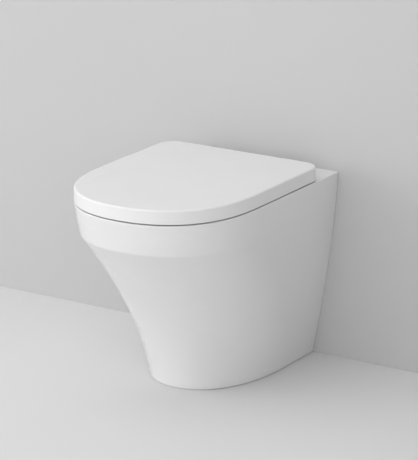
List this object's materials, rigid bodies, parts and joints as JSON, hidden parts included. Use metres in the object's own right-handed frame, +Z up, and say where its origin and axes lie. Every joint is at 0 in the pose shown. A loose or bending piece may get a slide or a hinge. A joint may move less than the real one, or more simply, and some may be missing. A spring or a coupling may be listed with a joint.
{
  "type": "back to wall toilet",
  "caption": "Floor-standing back to wall toilet: a shrouded glazed ceramic pan with bowl, trap and flush inlet, and a hinged seat under a slow-closing wrap-over lid.",
  "frame": {"origin": "on the floor, under the middle of the whole from the wall to the front of the lid", "axes": "+X to the right of someone facing the toilet from the front, +Y towards the wall, +Z up"},
  "size_m": [0.37, 0.533, 0.431],
  "materials": {
    "glazed_ceramic": "white glazed vitreous china",
    "seat_plastic": "white moulded thermoset, satin gloss",
    "hinge_chrome": "chromed zinc",
    "pin_steel": "turned stainless steel",
    "zinc_steel": "zinc plated steel",
    "black_rubber": "black moulded rubber",
    "clear_rubber": "translucent soft buffer",
    "damper_plastic": "dark grey moulded plastic",
    "nylon": "natural nylon"
  },
  "bodies": {
    "pan_body": {"pan": "glazed_ceramic", "inlet_seal": "black_rubber", "floor_bracket_left": "zinc_steel", "floor_bracket_right": "zinc_steel", "bracket_bolts": "zinc_steel", "bracket_inserts": "nylon", "hinge_pads": "black_rubber", "hinge_base_left": "hinge_chrome", "hinge_base_right": "hinge_chrome", "hinge_post_left": "hinge_chrome", "hinge_post_right": "hinge_chrome", "hinge_pin_left": "pin_steel", "hinge_pin_right": "pin_steel", "hinge_bolts": "zinc_steel", "hinge_bushes": "black_rubber", "hinge_washers": "zinc_steel", "hinge_nuts": "nylon", "release_spring_left": "pin_steel", "release_spring_right": "pin_steel"},
    "seat_body": {"seat_ring": "seat_plastic", "seat_buffers": "clear_rubber", "seat_damper": "damper_plastic", "seat_bearing": "nylon"},
    "lid_body": {"lid_cover": "seat_plastic", "lid_buffers": "clear_rubber", "lid_damper": "damper_plastic", "lid_bearing": "nylon"},
    "left_button": {"release_button_left": "hinge_chrome"},
    "right_button": {"release_button_right": "hinge_chrome"}
  },
  "joints": [
    {"name": "seat_hinge", "type": "hinge", "parent": "pan_body", "child": "seat_body", "pos_m": [0, 0.2105, 0.419], "axis": [-1, 0, 0], "range_deg": [0, 93]},
    {"name": "lid_hinge", "type": "hinge", "parent": "seat_body", "child": "lid_body", "pos_m": [0, 0.2105, 0.419], "axis": [-1, 0, 0], "range_deg": [0, 93]},
    {"name": "left_button_press", "type": "slide", "parent": "pan_body", "child": "left_button", "axis": [1, 0, 0], "range_m": [0, 0.002], "stiffness_N_per_m": 500, "springref_m": -0.003, "deforming": ["release_spring_left"]},
    {"name": "right_button_press", "type": "slide", "parent": "pan_body", "child": "right_button", "axis": [-1, 0, 0], "range_m": [0, 0.002], "stiffness_N_per_m": 500, "springref_m": -0.003, "deforming": ["release_spring_right"]}
  ]
}
